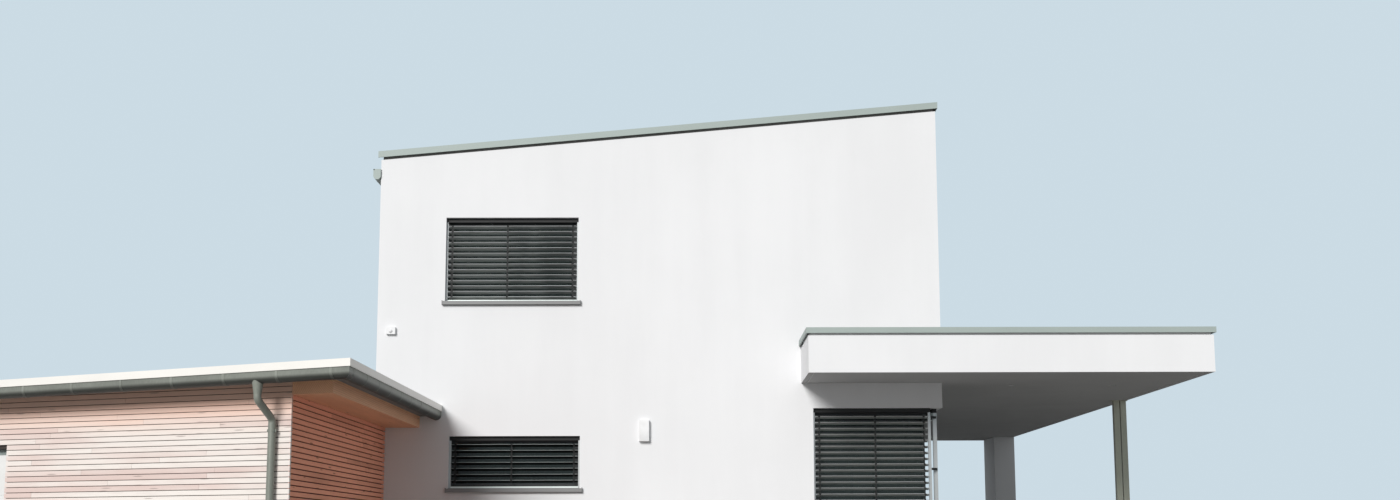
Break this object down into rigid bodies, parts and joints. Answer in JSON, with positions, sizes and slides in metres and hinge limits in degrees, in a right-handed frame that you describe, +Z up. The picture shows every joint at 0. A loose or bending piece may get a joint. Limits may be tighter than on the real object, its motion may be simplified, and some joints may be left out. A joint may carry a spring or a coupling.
{
  "type": "detached house",
  "caption": "Detached house: white block with a single-slope roof, corner window with venetian blinds, flat canopy on a pier and posts, timber-clad annex.",
  "frame": {"origin": "centre of the main block's footprint, at ground level", "axes": "+Z up, the front faces -Y, the canopy is at +X and the annex at -X"},
  "size_m": [17.7302, 17.6125, 7.0875],
  "materials": {
    "white_render": "fine matte render",
    "concrete": "smooth",
    "roof_membrane": "matte sheet",
    "grey_metal": "satin coated sheet",
    "zinc": "weathered satin",
    "cream_metal": "satin coated sheet",
    "steel_posts": "satin",
    "window_frame_grey": "satin",
    "window_glass": "clear",
    "sill_metal": "satin",
    "blind_slat": "satin coated",
    "blind_rail": "satin",
    "blind_head": "matte",
    "black_bracket": "matte",
    "larch_sunny": "planed, weathered",
    "larch_red": "planed, oiled",
    "beam_wood": "planed, oiled",
    "wall_core": "rough",
    "door_white": "satin",
    "door_frame_grey": "satin",
    "white_box": "satin",
    "lamp_dark": "matte"
  },
  "bodies": {
    "root": {"front_wall": "white_render", "rear_wall": "white_render", "left_wall": "white_render", "right_wall": "white_render", "ground_floor": "concrete", "upper_floor": "concrete", "roof_deck": "roof_membrane", "roof_coping": "grey_metal", "eaves_gutter": "grey_metal", "eaves_downpipe": "zinc", "window_frames": "window_frame_grey", "window_glass": "window_glass", "window_sills": "sill_metal", "blind_guides": "blind_rail", "blind_head_rails": "blind_head", "blind_bottom_rails": "blind_slat", "upper_blind_slats": "blind_slat", "lower_blind_slats": "blind_slat", "raised_blinds": "blind_slat", "corner_raised_blind": "blind_slat", "corner_window_frame": "window_frame_grey", "corner_window_glass": "window_glass", "corner_guide_rails": "blind_rail", "corner_head_rails": "blind_head", "corner_bottom_rails": "blind_slat", "corner_blind_slats": "blind_slat", "corner_brackets": "black_bracket", "canopy_slab": "white_render", "canopy_coping": "grey_metal", "canopy_pier": "white_render", "canopy_posts": "steel_posts", "canopy_post_plates": "steel_posts", "canopy_downlights": "lamp_dark", "annex_front_wall": "wall_core", "annex_front_cladding": "larch_sunny", "annex_right_wall": "wall_core", "annex_right_cladding": "larch_red", "annex_rear_wall": "wall_core", "annex_rear_cladding": "larch_red", "annex_left_wall": "wall_core", "annex_left_cladding": "larch_red", "annex_floor": "concrete", "annex_roof": "roof_membrane", "annex_roof_edge": "cream_metal", "annex_eave_beam": "beam_wood", "annex_soffit": "beam_wood", "annex_eave_board": "beam_wood", "annex_gutter": "zinc", "annex_downpipe": "zinc", "garage_door_frame": "door_frame_grey", "garage_door": "door_white", "wall_box": "white_box", "wall_sensor": "white_box"}
  },
  "joints": []
}
